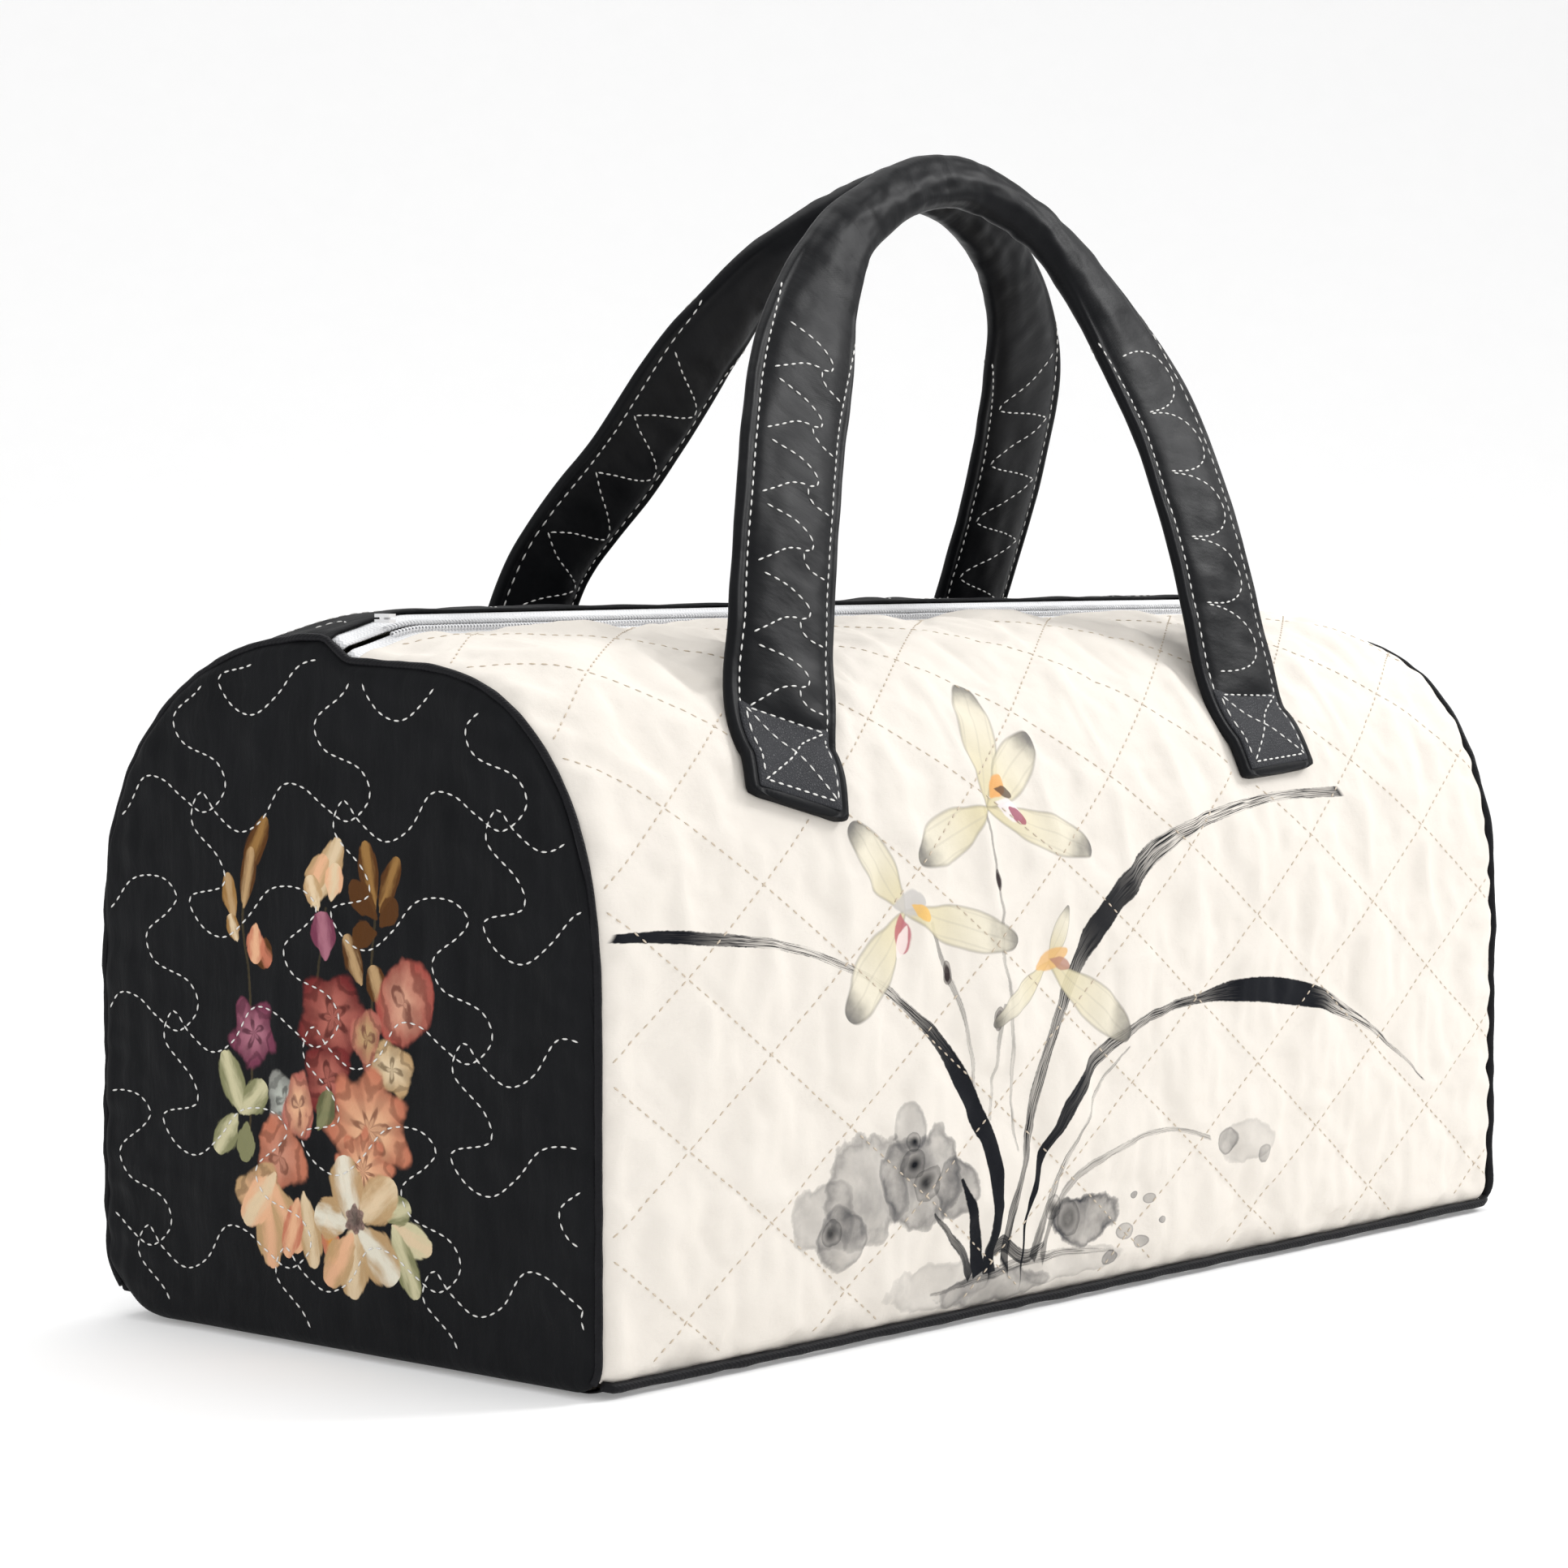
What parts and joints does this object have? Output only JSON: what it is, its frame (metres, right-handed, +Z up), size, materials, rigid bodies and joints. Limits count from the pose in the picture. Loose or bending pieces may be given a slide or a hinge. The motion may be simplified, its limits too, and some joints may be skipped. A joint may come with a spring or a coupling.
{
  "type": "knitting bag",
  "caption": "Barrel-topped quilted bag with a pale front and dark ends, a zip along the top, and padded carrying straps sewn to the front and back.",
  "frame": {"origin": "middle of the underside of the base, on the table", "axes": "+X along the bag to the right of someone facing the pale front, +Y from the front to the back, +Z up"},
  "size_m": [0.45, 0.21, 0.3575],
  "materials": {
    "cream_quilt": "satin-weave cotton, diamond quilted",
    "black_quilt": "black satin-weave cotton, quilted",
    "wadding": "polyester fleece",
    "base_board": "matte board",
    "lining": "plain-weave cotton",
    "piping": "corded satin",
    "zip_tape": "herringbone tape",
    "zip_coil": "nylon coil",
    "zip_metal": "white enamel",
    "strap_satin": "black satin, padded",
    "patch_leather": "dark grey grained"
  },
  "bodies": {
    "bag": {"front_wall": "cream_quilt", "back_wall": "black_quilt", "base_panel": "black_quilt", "left_end_panel": "black_quilt", "right_end_panel": "black_quilt", "front_wadding": "wadding", "back_wadding": "wadding", "left_end_wadding": "wadding", "right_end_wadding": "wadding", "base_board": "base_board", "front_lining": "lining", "back_lining": "lining", "left_end_lining": "lining", "right_end_lining": "lining", "base_lining": "lining", "left_seam_piping": "piping", "right_seam_piping": "piping", "front_base_piping": "piping", "back_base_piping": "piping", "front_zip_tape_ends": "zip_tape", "back_zip_tape_ends": "zip_tape", "front_zip_coil_ends": "zip_coil", "back_zip_coil_ends": "zip_coil", "left_zip_stop": "zip_coil", "right_zip_stop": "zip_coil", "front_left_strap_end": "strap_satin", "front_right_strap_end": "strap_satin", "back_left_strap_end": "strap_satin", "back_right_strap_end": "strap_satin", "front_left_patch": "patch_leather", "front_right_patch": "patch_leather", "back_left_patch": "patch_leather", "back_right_patch": "patch_leather"},
    "front_flap_body": {"front_flap": "cream_quilt", "front_flap_wadding": "wadding", "front_flap_lining": "lining", "front_zip_tape": "zip_tape", "front_zip_coil": "zip_coil"},
    "back_flap_body": {"back_flap": "black_quilt", "back_flap_wadding": "wadding", "back_flap_lining": "lining", "back_zip_tape": "zip_tape", "back_zip_coil": "zip_coil"},
    "slider": {"zip_slider": "zip_metal"},
    "puller": {"zip_puller": "zip_metal"},
    "front_handle": {"front_handle_cover": "strap_satin", "front_handle_padding": "wadding"},
    "back_handle": {"back_handle_cover": "strap_satin", "back_handle_padding": "wadding"}
  },
  "joints": [
    {"name": "front_flap_bend", "type": "hinge", "parent": "bag", "child": "front_flap_body", "pos_m": [0, -0.0701, 0.19266], "axis": [1, 0, 0], "range_deg": [0, 40]},
    {"name": "back_flap_bend", "type": "hinge", "parent": "bag", "child": "back_flap_body", "pos_m": [0, 0.0701, 0.19266], "axis": [-1, 0, 0], "range_deg": [0, 40]},
    {"name": "zip_run", "type": "slide", "parent": "bag", "child": "slider", "axis": [-1, 0, 0], "range_m": [0, 0.39]},
    {"name": "puller_swing", "type": "hinge", "parent": "slider", "child": "puller", "pos_m": [0.196, 0, 0.2147], "axis": [0, -1, 0], "range_deg": [0, 180]},
    {"name": "front_handle_fold", "type": "hinge", "parent": "bag", "child": "front_handle", "pos_m": [0, -0.08617, 0.18824], "axis": [1, 0, 0], "range_deg": [0, 165]},
    {"name": "back_handle_fold", "type": "hinge", "parent": "bag", "child": "back_handle", "pos_m": [0, 0.08617, 0.18824], "axis": [-1, 0, 0], "range_deg": [0, 165]}
  ]
}
